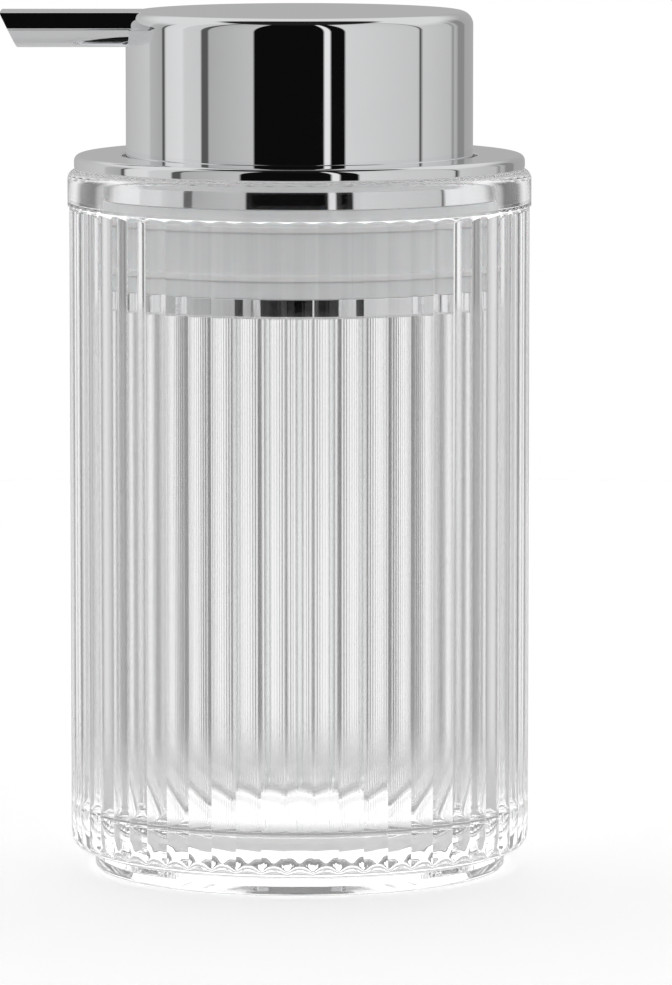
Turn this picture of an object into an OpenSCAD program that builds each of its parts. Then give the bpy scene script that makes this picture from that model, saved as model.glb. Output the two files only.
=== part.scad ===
// Soap pump dispenser: a fluted glass jar, a push-in plated collar with a
// silicone seal, and a hand pump worked by a large round press-down head.
// The jar's foot is centred on the origin, +Z is up and the spout points to -X.

/* [Jar] */
// Height of the glass from the foot to the mouth
jar_h = 119.4; // [105:0.1:150]
// Diameter of the smooth band around the mouth
rim_d = 78.74; // [70:0.01:100]
// Height of the smooth band
rim_h = 6.1; // [4:0.1:10]
// Thickness of the glass beside the mouth
glass_wall = 5.37; // [4.5:0.01:6.5]
// Height of the inside floor above the table
floor_h = 9.7; // [7:0.1:14]
// Number of flutes around the jar
flute_count = 56; // [36:1:72]
// Depth of the grooves between the flutes
flute_depth = 0.7; // [0.4:0.05:1.1]
// How far the flute crests stand back from the smooth band
flute_inset = 0.27; // [0.15:0.01:0.6]
// Height of the plain foot ring
foot_h = 3.5; // [2.5:0.1:5]
// How far the foot ring stands back from the smooth band
foot_inset = 4.37; // [3.5:0.01:6]
// Depth of the shallow hollow under the foot
hollow_depth = 1.2; // [0.6:0.1:2]

/* [Collar and seal] */
// Thickness of the flange that lies on the glass
flange_t = 2.5; // [2:0.1:4]
// How far the flange stands back from the edge of the glass
flange_inset = 1.11; // [0.6:0.01:2]
// How far the plug reaches down into the mouth
plug_depth = 22.7; // [20:0.1:30]
// Gap between the plated plug and the glass
plug_gap = 1.0; // [0.8:0.05:1.4]
// Wall of the plug
plug_wall = 2.2; // [1.8:0.1:3]
// Height of the plated ring below the silicone sleeve
plug_ring_h = 3.4; // [2.5:0.1:5]
// Height of the plated band above the silicone sleeve
plug_band_h = 4.6; // [3:0.1:6]
// How deep the sleeve is let into the plug
sleeve_recess = 0.8; // [0.5:0.05:1]
// Gap left between the sleeve's lips and the glass
lip_gap = 0.1; // [0.05:0.01:0.2]

/* [Press-down head] */
// Height of the head above the flange with the pump at rest
head_h = 24.3; // [22:0.1:34]
// Wall of the plated head
head_wall = 1.6; // [1.2:0.1:2.2]
// Thickness of the head's top
head_top_t = 1.8; // [1.4:0.1:2.4]
// Rounding of the head's top edge
head_round = 2.3; // [1:0.1:4]
// How far the head's skirt reaches below the top of the flange at rest
skirt_depth = 3.0; // [2:0.1:4]
// Stroke of the head
head_travel = 7.0; // [5:0.1:8.4]
// Gap between the head and its guide ring
head_gap = 0.3; // [0.25:0.01:0.4]
// Wall of the guide ring
guide_wall = 1.05; // [0.9:0.05:1.6]
// Height of the guide ring
guide_h = 8.0; // [5:0.1:9]

/* [Spout] */
// How far the spout stands out from the side of the head
spout_reach = 21.15; // [15:0.05:32]
// Width of the spout across its flat top
spout_w = 13.6; // [9:0.1:18]
// Depth of the spout
spout_h = 6.0; // [5.5:0.1:7.5]
// Height of the spout's upright sides, above the rounding
spout_side_h = 2.9; // [2:0.1:3.5]
// How far the rounded lower part of the spout stands in from the upright sides
spout_step = 0.4; // [0.2:0.1:0.8]
// How far the slanted tip runs back from top to bottom
spout_slant = 2.9; // [0:0.1:5]
// Outside diameter of the liner tube in the spout
liner_d = 4.4; // [3.6:0.1:4.8]
// Bore of the liner tube
liner_bore = 3.0; // [2:0.1:3.2]

/* [Pump] */
// Outside diameter of the hollow stem
stem_d = 8.0; // [7.6:0.1:9]
// Bore of the stem
stem_bore = 3.8; // [3:0.1:4.2]
// Bore of the pump housing
housing_bore = 14.0; // [13:0.1:17]
// Wall of the pump housing
housing_wall = 1.6; // [1.2:0.1:2]
// Height of the piston
piston_h = 4.4; // [4:0.1:6]
// Diameter of the lower valve ball
inlet_ball_d = 4.0; // [3.8:0.1:5]
// Diameter of the upper valve ball
outlet_ball_d = 5.0; // [4.6:0.1:5.2]
// How far each valve ball can rise
ball_lift = 1.0; // [0.6:0.1:1.2]
// Wire of the return spring
wire_d = 1.0; // [0.7:0.05:1.2]
// Mean diameter of the return spring
coil_d = 17.6; // [16:0.1:20]
// Outside diameter of the dip tube
tube_d = 5.2; // [4.4:0.1:5.6]
// Bore of the dip tube
tube_bore = 3.6; // [2.8:0.1:3.8]
// Gap between the dip tube's end and the floor of the jar
tube_gap = 2.6; // [1.5:0.1:6]

/* [Hidden] */
$fn = 96;

// Clearances: a running shaft, a seat that only has to slide together, and a valve ball on its seat
run_gap = 0.06;
seat_gap = 0.04;
ball_gap = 0.03;
// Overlap that makes a cut pass clear of a face
cut = 1;

// Radii of the jar
rim_r = rim_d / 2;
mouth_r = rim_r - glass_wall;
crest_r = rim_r - flute_inset;
groove_r = crest_r - flute_depth;
foot_r = rim_r - foot_inset;
// Rounding of the mouth's edges, of the fluted corner above the foot, and of the inside corner
rim_round = 1.6;
mouth_round = 1.1;
base_round = 2.6;
floor_round = 3.0;
hollow_r = foot_r - 5.0;
// One flute is an arc through its crest and the two grooves beside it
flute_step = 360 / flute_count;
half_cos = cos(flute_step / 2);
flute_r = (groove_r * groove_r - 2 * groove_r * crest_r * half_cos + crest_r * crest_r)
    / (2 * (crest_r - groove_r * half_cos));

// Heights of the collar
flange_top = jar_h + flange_t;
plug_bottom = jar_h - plug_depth;
sleeve_top = jar_h - plug_band_h;
sleeve_bottom = plug_bottom + plug_ring_h;
sleeve_h = sleeve_top - sleeve_bottom;
lip_h = 1.3;
lip_top_z = sleeve_top - 0.22 * sleeve_h;
lip_low_z = sleeve_bottom + 0.23 * sleeve_h;
// The collar's neck lip holds the guide ring down, and its shelf carries the pump mount
neck_lip_t = 1.5;
shelf_t = 1.5;
shelf_w = 2.0;
flange_round = 1.0;

// Radii of the collar
flange_r = rim_r - flange_inset;
plug_r = mouth_r - plug_gap;
well_r = plug_r - plug_wall;
recess_r = plug_r - sleeve_recess;
sleeve_r = plug_r + 0.35;
lip_r = mouth_r - lip_gap;
guide_r = well_r - guide_wall;
head_r = guide_r - head_gap;
neck_lip_r = guide_r + 0.45;

// Radii of the pump
stem_r = stem_d / 2;
stem_bore_r = stem_bore / 2;
stem_flange_r = stem_r + 0.8;
bore_r = housing_bore / 2;
housing_r = bore_r + housing_wall;
mount_bore_r = housing_r + 0.2;
mount_neck_r = mount_bore_r + 2.4;
housing_flange_r = mount_neck_r - 0.6;
lock_bore_r = mount_neck_r + 0.05;
lock_r = lock_bore_r + 1.8;
guide_boss_r = stem_r + 2.4;
lock_lip_r = guide_boss_r + 0.3;
tube_r = tube_d / 2;
nipple_r = tube_r + 1.6;
inlet_r = inlet_ball_d / 2;
outlet_r = outlet_ball_d / 2;
inlet_seat_r = 0.75 * inlet_r;
inlet_room_r = inlet_r + 0.6;
outlet_room_r = outlet_r + 0.4;

// Heights of the pump, from the bottom of the plug up
gasket_t = 0.8;
mount_t = 2.0;
mount_z = plug_bottom + shelf_t + gasket_t;
nipple_z = plug_bottom + 0.3;
socket_top = nipple_z + 4.0;
seat_z = socket_top + 0.8;
inlet_z = seat_z + sqrt(inlet_r * inlet_r - inlet_seat_r * inlet_seat_r) + ball_gap;
cage_z = inlet_z + inlet_r + ball_lift + ball_gap;
cage_t = 1.0;
piston_z = cage_z + cage_t + head_travel + 0.4;
piston_top = piston_z + piston_h;
guide_z = piston_top + 0.1;
housing_top = guide_z + 3.6;
housing_flange_t = 1.5;
mount_top = housing_top - housing_flange_t - gasket_t;
guide_rim_top = housing_top + 1.3;
lock_top = guide_rim_top + 1.2;
guide_top = lock_top + 0.4;
lock_h = 12;
wiper_h = 1.2;

// Heights of the head
head_top = flange_top + head_h;
ceiling_z = head_top - head_top_t;
skirt_z = flange_top - skirt_depth;
liner_z = head_top - spout_h / 2;
liner_r = liner_d / 2;
core_plate_t = 2.0;
core_plate_top = liner_z - liner_r - 0.3;
core_plate_z = core_plate_top - core_plate_t;
hub_r = stem_r + 2.2;
hub_z = guide_top + head_travel + 0.3;
stem_top = core_plate_top - 0.7;
core_r = head_r - head_wall - seat_gap;
// The upper ball sits on the top of the stem's bore, in a pocket in the stem's end
pocket_depth = outlet_r + sqrt(outlet_r * outlet_r - stem_bore_r * stem_bore_r);
outlet_seat_z = stem_top - pocket_depth + 0.2;
outlet_z = outlet_seat_z + pocket_depth - outlet_r + ball_gap;
outlet_roof = outlet_z + outlet_r + ball_lift + ball_gap;
tip_x = -(head_r + spout_reach);
spout_corner = spout_h - spout_side_h;

// The spring has as many turns as still leave it open at full stroke
spring_z = lock_top;
spring_h = core_plate_z - lock_top;
spring_turns = max(2, floor((spring_h - head_travel - 0.8) / wire_d));
coil_r = coil_d / 2;

// Points along an arc of centre c and radius r, from angle a0 to a1
function arc(c, r, a0, a1, steps = 6) =
    [for (i = [0:steps]) let (a = a0 + (a1 - a0) * i / steps) c + r * [cos(a), sin(a)]];

// A solid turned about the Z axis from [radius, height] points
module turned(points) {
    rotate_extrude() polygon(points);
}

// A plain ring about the Z axis
module ring(outer, inner, z, h) {
    rotate_extrude() translate([inner, z]) square([outer - inner, h]);
}

// Copies of the children at equal angles
module around(count, start = 0) {
    for (i = [0:count - 1]) rotate(start + i * 360 / count) children();
}

// ---- Jar ----

// The fluted outline, one arc per flute around a plain middle
module flute_outline() {
    circle(groove_r - 0.6);
    around(flute_count) translate([crest_r - flute_r, 0]) circle(flute_r);
}

module fluted_wall() {
    flute_top = jar_h - rim_h + 0.5;
    intersection() {
        translate([0, 0, foot_h]) linear_extrude(flute_top - foot_h) flute_outline();
        turned(concat(
            [[0, foot_h]],
            arc([crest_r - base_round, foot_h + base_round], base_round, -90, 0, 5),
            [[crest_r + 0.05, foot_h + base_round + 1], [crest_r + 0.05, jar_h], [0, jar_h]]));
    }
}

// The smooth band, with a sloping underside that the flutes run out into
module rim_band() {
    slope = rim_r - groove_r + 0.3;
    turned(concat(
        [[0, jar_h - rim_h - slope], [groove_r - 0.3, jar_h - rim_h - slope], [rim_r, jar_h - rim_h]],
        arc([rim_r - rim_round, jar_h - rim_round], rim_round, 0, 90),
        [[0, jar_h]]));
}

module foot_ring() {
    edge = 0.8;
    turned(concat(
        [[0, 0]],
        arc([foot_r - edge, edge], edge, -90, 0, 4),
        [[foot_r, foot_h + 0.2], [0, foot_h + 0.2]]));
}

module jar_cavity() {
    turned(concat(
        [[0, floor_h]],
        arc([mouth_r - floor_round, floor_h + floor_round], floor_round, -90, 0),
        arc([mouth_r + mouth_round, jar_h - mouth_round], mouth_round, 180, 90),
        [[mouth_r + mouth_round, jar_h + cut], [0, jar_h + cut]]));
}

module foot_hollow() {
    slope = 1.0;
    turned([[0, -cut], [hollow_r, -cut], [hollow_r, 0], [hollow_r - slope, hollow_depth], [0, hollow_depth]]);
}

module glass_jar() {
    color([0.90, 0.94, 0.95, 0.35]) difference() {
        union() {
            fluted_wall();
            rim_band();
            foot_ring();
        }
        jar_cavity();
        foot_hollow();
    }
}

// ---- Collar, seal and guide ----

module lid_collar() {
    edge = 0.5;
    color([0.78, 0.79, 0.81]) turned(concat(
        [[well_r - shelf_w, plug_bottom], [plug_r - edge, plug_bottom], [plug_r, plug_bottom + edge]],
        [[plug_r, sleeve_bottom], [recess_r, sleeve_bottom], [recess_r, sleeve_top], [plug_r, sleeve_top]],
        [[plug_r, jar_h]],
        arc([flange_r - edge, jar_h + edge], edge, -90, 0, 3),
        arc([flange_r - flange_round, flange_top - flange_round], flange_round, 0, 90),
        arc([neck_lip_r + edge, flange_top - edge], edge, 90, 180, 3),
        [[neck_lip_r, flange_top - neck_lip_t], [well_r, flange_top - neck_lip_t]],
        [[well_r, plug_bottom + shelf_t], [well_r - shelf_w, plug_bottom + shelf_t]]));
}

// One raised lip of the sleeve, as profile points from bottom to top
function lip(z) = [[sleeve_r, z - lip_h / 2], [lip_r, z - lip_h / 5], [lip_r, z + lip_h / 5],
    [sleeve_r, z + lip_h / 2]];

module seal_sleeve() {
    color([0.80, 0.81, 0.82]) turned(concat(
        [[recess_r, sleeve_bottom], [sleeve_r, sleeve_bottom]],
        lip(lip_low_z),
        lip(lip_top_z),
        [[sleeve_r, sleeve_top], [recess_r, sleeve_top]]));
}

module guide_ring() {
    bevel = 0.35;
    top = flange_top - neck_lip_t;
    color([0.93, 0.93, 0.92]) turned([
        [guide_r + bevel, top - guide_h], [well_r, top - guide_h], [well_r, top],
        [guide_r + bevel, top], [guide_r, top - bevel], [guide_r, top - guide_h + bevel]]);
}

// ---- Pump mount and the parts clamped to it ----

// A bead around the mount's neck that the lock ring snaps over
bead_z = mount_top - 5;
bead_h = 1.2;
bead_out = 0.5;

module neck_bead(extra) {
    turned([
        [mount_neck_r - 1, bead_z - bead_h - extra], [mount_neck_r, bead_z - bead_h - extra],
        [mount_neck_r + bead_out + extra, bead_z - extra], [mount_neck_r + bead_out + extra, bead_z + extra],
        [mount_neck_r, bead_z + bead_h + extra], [mount_neck_r - 1, bead_z + bead_h + extra]]);
}

module pump_mount() {
    rib_t = 1.2;
    rib_h = 6;
    rib_end = mount_neck_r + 0.65 * (well_r - mount_neck_r);
    color([0.95, 0.95, 0.94]) difference() {
        union() {
            ring(well_r - seat_gap, mount_bore_r, mount_z, mount_t);
            ring(mount_neck_r, mount_bore_r, mount_z, mount_top - mount_z);
            neck_bead(0);
            around(6, 30) translate([mount_neck_r - 1, rib_t / 2, mount_z + mount_t]) rotate([90, 0, 0])
                linear_extrude(rib_t)
                polygon([[0, -0.5], [rib_end - mount_neck_r + 1, -0.5], [rib_end - mount_neck_r + 1, 0], [1, rib_h],
                    [0, rib_h]]);
        }
        translate([0, 0, mount_z - cut]) cylinder(r = mount_bore_r, h = mount_top - mount_z + 2 * cut);
    }
}

module mount_gasket() {
    color([0.72, 0.73, 0.74]) ring(well_r - 0.3, well_r - shelf_w, plug_bottom + shelf_t, gasket_t);
}

module pump_housing() {
    color([0.90, 0.92, 0.93]) turned([
        [tube_r + seat_gap, nipple_z], [nipple_r, nipple_z], [nipple_r, socket_top],
        [housing_r, socket_top + housing_r - nipple_r], [housing_r, housing_top - housing_flange_t],
        [housing_flange_r, housing_top - housing_flange_t], [housing_flange_r, housing_top],
        [bore_r, housing_top], [bore_r, cage_z], [inlet_room_r, cage_z], [inlet_room_r, seat_z],
        [inlet_seat_r, seat_z], [inlet_seat_r, socket_top], [tube_r + seat_gap, socket_top]]);
}

module housing_gasket() {
    color([0.72, 0.73, 0.74]) ring(housing_flange_r, mount_bore_r, mount_top, gasket_t);
}

module lock_ring() {
    knurl_r = 0.6;
    color([0.96, 0.96, 0.95]) difference() {
        union() {
            ring(lock_r, lock_lip_r, lock_top - lock_h, lock_h);
            around(24) translate([lock_r - 0.15, 0, lock_top - lock_h + 1])
                cylinder(r = knurl_r, h = lock_h - 2.5, $fn = 24);
        }
        translate([0, 0, lock_top - lock_h - cut])
            cylinder(r = lock_bore_r, h = guide_rim_top - lock_top + lock_h + cut);
        neck_bead(0.1);
    }
}

module stem_guide() {
    wiper_r = stem_r + 1.2;
    color([0.96, 0.96, 0.95]) turned([
        [stem_r + run_gap, guide_z], [bore_r - seat_gap, guide_z], [bore_r - seat_gap, housing_top],
        [housing_flange_r, housing_top], [housing_flange_r, guide_rim_top], [guide_boss_r, guide_rim_top],
        [guide_boss_r, guide_top], [wiper_r, guide_top], [wiper_r, guide_top - wiper_h],
        [stem_r + run_gap, guide_top - wiper_h]]);
}

module stem_wiper() {
    color([0.35, 0.36, 0.38]) ring(stem_r + 1.2, stem_r + run_gap, guide_top - wiper_h, wiper_h);
}

// ---- Valves, spring and dip tube ----

module ball_cage() {
    hole_r = 1.2;
    color([0.88, 0.90, 0.92]) difference() {
        translate([0, 0, cage_z]) cylinder(r = bore_r - seat_gap, h = cage_t);
        around(4) translate([inlet_room_r + 0.4, 0, cage_z - cut]) cylinder(r = hole_r, h = cage_t + 2 * cut);
    }
}

module inlet_ball() {
    color([0.75, 0.76, 0.78]) translate([0, 0, inlet_z]) sphere(inlet_r);
}

module outlet_ball() {
    color([0.75, 0.76, 0.78]) translate([0, 0, outlet_z]) sphere(outlet_r);
}

// Height of the wire's centre after a share t of the turns: the two end turns lie almost flat
function coil_z(t) =
    let (end = 1 / spring_turns, s = max(0, min(1, (t - end / 2) / (1 - end))))
    spring_z + wire_d / 2 + s * (spring_h - wire_d);

module return_spring() {
    steps = 24 * spring_turns;
    sides = 8;
    points = [for (i = [0:steps]) let (a = 360 * spring_turns * i / steps, z = coil_z(i / steps))
        for (j = [0:sides - 1]) let (b = 360 * (j + 0.5) / sides, r = coil_r + wire_d / 2 * cos(b))
            [r * cos(a), r * sin(a), z + wire_d / 2 * sin(b)]];
    sides_faces = [for (i = [0:steps - 1]) for (j = [0:sides - 1])
        let (k = (j + 1) % sides) each [
            [i * sides + j, (i + 1) * sides + j, (i + 1) * sides + k],
            [i * sides + j, (i + 1) * sides + k, i * sides + k]]];
    start_face = [[for (j = [0:sides - 1]) j]];
    end_face = [[for (j = [sides - 1:-1:0]) steps * sides + j]];
    color([0.70, 0.72, 0.74]) polyhedron(points, concat(sides_faces, start_face, end_face));
}

module dip_tube() {
    low = floor_h + tube_gap;
    color([0.92, 0.95, 0.96, 0.4]) difference() {
        ring(tube_r, tube_bore / 2, low, socket_top - low);
        // Slanted lower end, so that the tube can't seal itself on the floor
        translate([-tube_r, 0, low]) rotate([0, 30, 0]) translate([-tube_d, -tube_d, -2 * tube_d])
            cube([4 * tube_d, 2 * tube_d, 2 * tube_d]);
    }
}

// ---- Piston and stem ----

module piston() {
    lip_edge = bore_r - run_gap;
    waist = bore_r - 0.7;
    inner = stem_flange_r + 0.1;
    pocket = 1.2;
    color([0.86, 0.88, 0.90]) turned([
        [inner, piston_z], [lip_edge, piston_z], [lip_edge, piston_z + 0.9], [waist, piston_z + 1.5],
        [waist, piston_top - 1.5], [lip_edge, piston_top - 0.9], [lip_edge, piston_top], [inner, piston_top],
        [inner, piston_top - pocket], [stem_r + run_gap, piston_top - pocket],
        [stem_r + run_gap, piston_z + pocket], [inner, piston_z + pocket]]);
}

module piston_stem() {
    play = 0.05;
    flange_h = 1.2 - play;
    color([0.94, 0.95, 0.95]) turned([
        [stem_bore_r, piston_z], [stem_flange_r, piston_z], [stem_flange_r, piston_z + flange_h],
        [stem_r, piston_z + flange_h], [stem_r, piston_top - flange_h], [stem_flange_r, piston_top - flange_h],
        [stem_flange_r, piston_top], [stem_r, piston_top], [stem_r, stem_top], [outlet_room_r, stem_top],
        [outlet_room_r, outlet_seat_z], [stem_bore_r, outlet_seat_z]]);
}

// ---- Head ----

module head_core() {
    core_wall = 1.4;
    rib_t = 1.2;
    rib_gap = 0.8;
    rib_drop = min(4, core_plate_z - lock_top - head_travel - rib_gap);
    socket_x = 2.5;
    color([0.95, 0.95, 0.94]) difference() {
        union() {
            translate([0, 0, hub_z]) cylinder(r = hub_r, h = ceiling_z - hub_z);
            translate([0, 0, core_plate_z]) cylinder(r = core_r, h = core_plate_t);
            ring(core_r, core_r - core_wall, core_plate_z - rib_drop, rib_drop + core_plate_t);
            around(6, 30) translate([coil_r + wire_d + 1.5, -rib_t / 2, core_plate_z - rib_drop])
                cube([core_r - core_wall / 2 - coil_r - wire_d - 1.5, rib_t, rib_drop + core_plate_t / 2]);
        }
        // Socket for the stem, room for the upper ball, and the way up to the spout
        translate([0, 0, hub_z - cut]) cylinder(r = stem_r + seat_gap, h = stem_top - hub_z + cut);
        translate([0, 0, stem_top - cut]) cylinder(r = outlet_room_r, h = outlet_roof - stem_top + cut);
        translate([0, 0, stem_top]) cylinder(r = liner_bore / 2, h = liner_z - stem_top);
        translate([0, 0, liner_z]) rotate([0, -90, 0]) cylinder(r = liner_bore / 2, h = hub_r + cut);
        translate([-socket_x, 0, liner_z]) rotate([0, -90, 0]) cylinder(r = liner_r + seat_gap, h = hub_r + cut);
    }
}

// Cross-section of the spout: flat top, upright sides, a small step in, and rounded lower corners
module spout_outline() {
    side = spout_w / 2;
    lower_side = side - spout_step;
    step_y = spout_corner - spout_h / 2;
    polygon(concat(
        [[side, spout_h / 2], [-side, spout_h / 2], [-side, step_y]],
        arc([spout_corner - lower_side, step_y], spout_corner, 180, 270),
        arc([lower_side - spout_corner, step_y], spout_corner, 270, 360),
        [[side, step_y]]));
}

module spout_bar() {
    start = head_r - head_round - 2;
    slant = atan(spout_slant / spout_h);
    difference() {
        translate([-start, 0, liner_z]) rotate([90, 0, -90]) linear_extrude(-tip_x - start) spout_outline();
        translate([tip_x, 0, head_top]) rotate([0, -slant, 0])
            translate([-2 * spout_h, -spout_w, -3 * spout_h]) cube([2 * spout_h, 2 * spout_w, 4 * spout_h]);
    }
}

module head_shell() {
    inner = head_r - head_wall;
    color([0.80, 0.81, 0.83]) difference() {
        union() {
            turned(concat(
                [[0, skirt_z], [head_r - 0.3, skirt_z], [head_r, skirt_z + 0.3]],
                arc([head_r - head_round, head_top - head_round], head_round, 0, 90),
                [[0, head_top]]));
            spout_bar();
        }
        turned([[0, skirt_z - cut], [inner, skirt_z - cut], [inner, ceiling_z - 0.8], [inner - 0.8, ceiling_z],
            [0, ceiling_z]]);
        translate([0, 0, liner_z]) rotate([0, -90, 0]) cylinder(r = liner_r + seat_gap, h = -tip_x + cut);
    }
}

module spout_liner() {
    inset = 0.8;
    start = 2.5;
    end = -tip_x - spout_slant - inset;
    color([0.94, 0.94, 0.93]) difference() {
        translate([-start, 0, liner_z]) rotate([0, -90, 0]) cylinder(r = liner_r, h = end - start);
        translate([cut - start, 0, liner_z]) rotate([0, -90, 0]) cylinder(r = liner_bore / 2, h = end + 2 * cut);
    }
}

glass_jar();
lid_collar();
seal_sleeve();
guide_ring();
pump_mount();
mount_gasket();
pump_housing();
housing_gasket();
lock_ring();
stem_guide();
stem_wiper();
return_spring();
ball_cage();
inlet_ball();
dip_tube();
piston();
piston_stem();
outlet_ball();
head_core();
head_shell();
spout_liner();
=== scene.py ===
"""Looks of the soap pump dispenser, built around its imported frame.

Jar, Collar, Pump and Head are the sub-assemblies. Each holds its own sizes, builds its meshes and
dresses them. Their lengths are in millimetres and the studio's are in metres. Meshes are made in
metres, in the frame's own axes.
"""

import logging
import math
from dataclasses import dataclass, field
from enum import Enum
from typing import Callable, Sequence

import bmesh
import bpy
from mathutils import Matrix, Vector


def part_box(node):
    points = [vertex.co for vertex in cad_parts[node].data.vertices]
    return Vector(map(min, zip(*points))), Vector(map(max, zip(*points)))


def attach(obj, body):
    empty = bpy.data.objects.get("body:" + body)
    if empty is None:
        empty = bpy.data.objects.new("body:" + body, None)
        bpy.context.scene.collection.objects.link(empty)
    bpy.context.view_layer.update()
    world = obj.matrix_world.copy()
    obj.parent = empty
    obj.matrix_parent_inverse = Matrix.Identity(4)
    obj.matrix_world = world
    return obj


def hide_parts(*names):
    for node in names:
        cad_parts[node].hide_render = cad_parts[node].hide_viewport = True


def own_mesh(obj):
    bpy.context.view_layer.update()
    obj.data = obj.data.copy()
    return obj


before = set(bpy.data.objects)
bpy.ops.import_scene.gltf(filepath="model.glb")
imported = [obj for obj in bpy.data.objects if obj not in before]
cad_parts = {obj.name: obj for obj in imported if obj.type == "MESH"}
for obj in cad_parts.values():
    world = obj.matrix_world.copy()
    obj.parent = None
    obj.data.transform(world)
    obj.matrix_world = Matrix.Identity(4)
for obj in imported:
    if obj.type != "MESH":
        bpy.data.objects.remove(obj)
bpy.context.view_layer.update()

MM = 0.001
LOG = logging.getLogger("soap_pump")

Point = tuple[float, float]
Corner = tuple[float, float, float]
Colour = tuple[float, float, float]
Span = tuple[float, float]
Tree = bpy.types.NodeTree
Node = bpy.types.Node
Socket = bpy.types.NodeSocket

SHARP_DEG = 38.0
CRISP_DEG = 30.0
MERGE_M = 1e-7
CUT_SHARE = 0.49
SUPPORT_SHARE = 0.3


class Slot(Enum):
    """The record's material slots."""

    GLASS = "clear_glass"
    CHROME = "chrome_plate"
    SILICONE = "silicone"
    RUBBER = "wiper_rubber"
    WHITE = "white_plastic"
    NATURAL = "natural_plastic"
    TUBE = "clear_tube"
    SPRING = "spring_steel"
    BALL = "ball_steel"


class Body(Enum):
    """The frame's bodies."""

    JAR = "jar"
    LID = "lid"
    PLUNGER = "plunger"
    HEAD = "head"
    INLET = "inlet_valve"
    OUTLET = "outlet_valve"


# ---------------------------------------------------------------- node tools


def grey(level: float) -> Colour:
    """A neutral colour of one brightness."""
    return (level, level, level)


def scaled(colour: Colour, factor: float) -> Colour:
    """A colour made darker or lighter by a factor."""
    return tuple(factor * channel for channel in colour)


def math_node(tree: Tree, operation: str) -> Node:
    """Adds a Math node.

    Args:
        tree: The tree to add to.
        operation: The node's operation.

    Returns:
        The Math node.
    """
    node = tree.nodes.new("ShaderNodeMath")
    node.operation = operation
    return node


def product(tree: Tree, first: Socket, second: Socket) -> Socket:
    """Multiplies two values.

    Args:
        tree: The tree to add to.
        first: One value.
        second: The other value.

    Returns:
        The product's socket.
    """
    node = math_node(tree, "MULTIPLY")
    tree.links.new(first, node.inputs[0])
    tree.links.new(second, node.inputs[1])
    return node.outputs[0]


def soft_step(tree: Tree, value: Socket, at: Span, results: Span = (0.0, 1.0)) -> Socket:
    """Adds a clamped, smooth step from one result to another.

    Args:
        tree: The tree to add to.
        value: The value that is compared.
        at: Values at which the step starts and ends.
        results: Results at its start and at its end.

    Returns:
        The result's socket.
    """
    node = tree.nodes.new("ShaderNodeMapRange")
    node.interpolation_type = "SMOOTHSTEP"
    labels = ("From Min", "From Max", "To Min", "To Max")
    for label, number in zip(labels, (*at, *results)):
        node.inputs[label].default_value = number
    tree.links.new(value, node.inputs["Value"])
    return node.outputs["Result"]


def shared_steps(tree: Tree, steps: Sequence[tuple[Socket, Span]]) -> Socket:
    """Multiplies soft steps of several values into one mask.

    Args:
        tree: The tree to add to.
        steps: Each value's socket, and where its step starts and ends.

    Returns:
        The mask's socket.
    """
    masks = [soft_step(tree, value, at) for value, at in steps]
    mask = masks[0]
    for other in masks[1:]:
        mask = product(tree, mask, other)
    return mask


def mixed_colours(tree: Tree, factor: Socket, low: Socket | Colour, high: Socket | Colour) -> Socket:
    """Mixes two colours by a factor.

    Args:
        tree: The tree to add to.
        factor: The factor's socket.
        low: Colour, or its socket, where the factor is 0.
        high: Colour, or its socket, where the factor is 1.

    Returns:
        The result's socket.
    """
    node = tree.nodes.new("ShaderNodeMix")
    node.data_type = "RGBA"
    tree.links.new(factor, node.inputs["Factor"])
    for label, colour in (("A", low), ("B", high)):
        if isinstance(colour, bpy.types.NodeSocket):
            tree.links.new(colour, node.inputs[label])
        else:
            node.inputs[label].default_value = (*colour, 1.0)
    return node.outputs["Result"]


def own_place(tree: Tree) -> Socket:
    """Adds the object's own coordinates and gives their socket."""
    return tree.nodes.new("ShaderNodeTexCoord").outputs["Object"]


def split_axes(tree: Tree, place: Socket) -> Node:
    """Splits coordinates into X, Y and Z.

    Args:
        tree: The tree to add to.
        place: The coordinates.

    Returns:
        The Separate XYZ node.
    """
    node = tree.nodes.new("ShaderNodeSeparateXYZ")
    tree.links.new(place, node.inputs[0])
    return node


def length_of(tree: Tree, place: Socket) -> Socket:
    """Measures a point's distance from the origin.

    Args:
        tree: The tree to add to.
        place: The point's coordinates.

    Returns:
        The distance's socket.
    """
    node = tree.nodes.new("ShaderNodeVectorMath")
    node.operation = "LENGTH"
    tree.links.new(place, node.inputs[0])
    return node.outputs["Value"]


# ---------------------------------------------------------------- shader effects


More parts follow.
